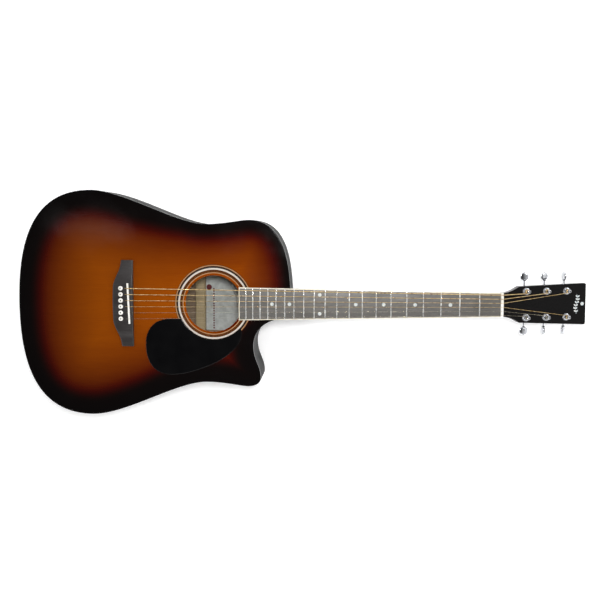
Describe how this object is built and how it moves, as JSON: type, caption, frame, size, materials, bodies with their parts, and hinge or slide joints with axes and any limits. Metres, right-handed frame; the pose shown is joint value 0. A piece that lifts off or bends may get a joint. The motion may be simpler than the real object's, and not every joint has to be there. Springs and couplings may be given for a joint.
{
  "type": "acoustic guitar",
  "caption": "Steel-string acoustic guitar: hollow dreadnought body with a round cutaway, bound fretboard, pinned bridge, angled headstock and geared tuners.",
  "frame": {"origin": "on the flat back, on the centreline, under the end of the scale length", "axes": "+X towards the headstock, +Y towards the bass side, +Z out of the soundboard"},
  "size_m": [1.024, 0.4004, 0.1207],
  "materials": {
    "sunburst_top": "high-gloss sunburst lacquer on spruce, black at the edge",
    "rosette_wood": "pale and brown inlaid rings under gloss lacquer",
    "dark_back": "dark brown stained wood under high gloss",
    "black_lacquer": "high-gloss black lacquer",
    "mahogany": "bare sanded mahogany",
    "dark_neck": "black gloss lacquer on mahogany",
    "ebonised_wood": "dark oiled wood with fine pores",
    "fretboard_wood": "dark oiled wood with fine pores",
    "maple": "bare hard maple",
    "spruce": "bare sanded spruce",
    "label_paper": "cream printed paper",
    "pickguard_plastic": "glossy black sheet",
    "cream_plastic": "polished cream binding",
    "nut_bone": "polished white bone",
    "pin_plastic": "polished white plastic with a dark dot",
    "pearl": "pearly inlay",
    "chrome": "polished chrome plating",
    "steel": "plain drawn steel",
    "bronze_wound": "bronze wrap wire"
  },
  "bodies": {
    "guitar": {"soundboard": "sunburst_top", "rosette": "rosette_wood", "back_plate": "dark_back", "top_binding": "black_lacquer", "back_binding": "black_lacquer", "side_bass": "black_lacquer", "side_treble": "black_lacquer", "neck_block": "mahogany", "tail_block": "mahogany", "top_lining_bass": "spruce", "top_lining_treble": "spruce", "back_lining_bass": "spruce", "back_lining_treble": "spruce", "x_brace_bass": "spruce", "x_brace_treble": "spruce", "transverse_brace": "spruce", "tone_bar": "spruce", "bridge_plate": "maple", "back_brace_1": "spruce", "back_brace_2": "spruce", "back_brace_3": "spruce", "strap_button": "chrome", "pickguard": "pickguard_plastic", "bridge": "ebonised_wood", "saddle": "nut_bone", "bridge_pin_1": "pin_plastic", "bridge_pin_2": "pin_plastic", "bridge_pin_3": "pin_plastic", "bridge_pin_4": "pin_plastic", "bridge_pin_5": "pin_plastic", "bridge_pin_6": "pin_plastic", "fretboard": "fretboard_wood", "fretboard_binding": "cream_plastic", "nut": "nut_bone", "neck": "dark_neck", "truss_rod": "steel", "string_1": "bronze_wound", "string_2": "bronze_wound", "string_3": "bronze_wound", "string_4": "bronze_wound", "string_5": "steel", "string_6": "steel", "tuner_housing_bass_1": "chrome", "tuner_housing_bass_2": "chrome", "tuner_housing_bass_3": "chrome", "tuner_housing_treble_1": "chrome", "tuner_housing_treble_2": "chrome", "tuner_housing_treble_3": "chrome"},
    "tuner_button_bass_1": {"tuner_button_bass_1": "chrome"},
    "string_post_bass_1": {"string_post_bass_1": "chrome"},
    "tuner_button_bass_2": {"tuner_button_bass_2": "chrome"},
    "string_post_bass_2": {"string_post_bass_2": "chrome"},
    "tuner_button_bass_3": {"tuner_button_bass_3": "chrome"},
    "string_post_bass_3": {"string_post_bass_3": "chrome"},
    "tuner_button_treble_1": {"tuner_button_treble_1": "chrome"},
    "string_post_treble_1": {"string_post_treble_1": "chrome"},
    "tuner_button_treble_2": {"tuner_button_treble_2": "chrome"},
    "string_post_treble_2": {"string_post_treble_2": "chrome"},
    "tuner_button_treble_3": {"tuner_button_treble_3": "chrome"},
    "string_post_treble_3": {"string_post_treble_3": "chrome"}
  },
  "joints": [
    {"name": "turn_tuner_button_bass_1", "type": "hinge", "parent": "guitar", "child": "tuner_button_bass_1", "pos_m": [0.69576, 0.023, 0.05225], "axis": [0, 1, 0], "continuous": true},
    {"name": "turn_string_post_bass_1", "type": "hinge", "parent": "guitar", "child": "string_post_bass_1", "pos_m": [0.69623, 0.023, 0.07339], "axis": [0.2673, 0, 0.9636], "continuous": true},
    {"name": "turn_tuner_button_bass_2", "type": "hinge", "parent": "guitar", "child": "tuner_button_bass_2", "pos_m": [0.73257, 0.023, 0.04204], "axis": [0, 1, 0], "continuous": true},
    {"name": "turn_string_post_bass_2", "type": "hinge", "parent": "guitar", "child": "string_post_bass_2", "pos_m": [0.73304, 0.023, 0.06318], "axis": [0.2673, 0, 0.9636], "continuous": true},
    {"name": "turn_tuner_button_bass_3", "type": "hinge", "parent": "guitar", "child": "tuner_button_bass_3", "pos_m": [0.76938, 0.023, 0.03182], "axis": [0, 1, 0], "continuous": true},
    {"name": "turn_string_post_bass_3", "type": "hinge", "parent": "guitar", "child": "string_post_bass_3", "pos_m": [0.76985, 0.023, 0.05297], "axis": [0.2673, 0, 0.9636], "continuous": true},
    {"name": "turn_tuner_button_treble_1", "type": "hinge", "parent": "guitar", "child": "tuner_button_treble_1", "pos_m": [0.69576, -0.023, 0.05225], "axis": [0, -1, 0], "continuous": true},
    {"name": "turn_string_post_treble_1", "type": "hinge", "parent": "guitar", "child": "string_post_treble_1", "pos_m": [0.69623, -0.023, 0.07339], "axis": [0.2673, 0, 0.9636], "continuous": true},
    {"name": "turn_tuner_button_treble_2", "type": "hinge", "parent": "guitar", "child": "tuner_button_treble_2", "pos_m": [0.73257, -0.023, 0.04204], "axis": [0, -1, 0], "continuous": true},
    {"name": "turn_string_post_treble_2", "type": "hinge", "parent": "guitar", "child": "string_post_treble_2", "pos_m": [0.73304, -0.023, 0.06318], "axis": [0.2673, 0, 0.9636], "continuous": true},
    {"name": "turn_tuner_button_treble_3", "type": "hinge", "parent": "guitar", "child": "tuner_button_treble_3", "pos_m": [0.76938, -0.023, 0.03182], "axis": [0, -1, 0], "continuous": true},
    {"name": "turn_string_post_treble_3", "type": "hinge", "parent": "guitar", "child": "string_post_treble_3", "pos_m": [0.76985, -0.023, 0.05297], "axis": [0.2673, 0, 0.9636], "continuous": true}
  ],
  "couplings": [
    {"joint": "turn_string_post_bass_1", "follows": "turn_tuner_button_bass_1", "ratio": 0.071429},
    {"joint": "turn_string_post_bass_2", "follows": "turn_tuner_button_bass_2", "ratio": 0.071429},
    {"joint": "turn_string_post_bass_3", "follows": "turn_tuner_button_bass_3", "ratio": 0.071429},
    {"joint": "turn_string_post_treble_1", "follows": "turn_tuner_button_treble_1", "ratio": -0.071429},
    {"joint": "turn_string_post_treble_2", "follows": "turn_tuner_button_treble_2", "ratio": -0.071429},
    {"joint": "turn_string_post_treble_3", "follows": "turn_tuner_button_treble_3", "ratio": -0.071429}
  ]
}
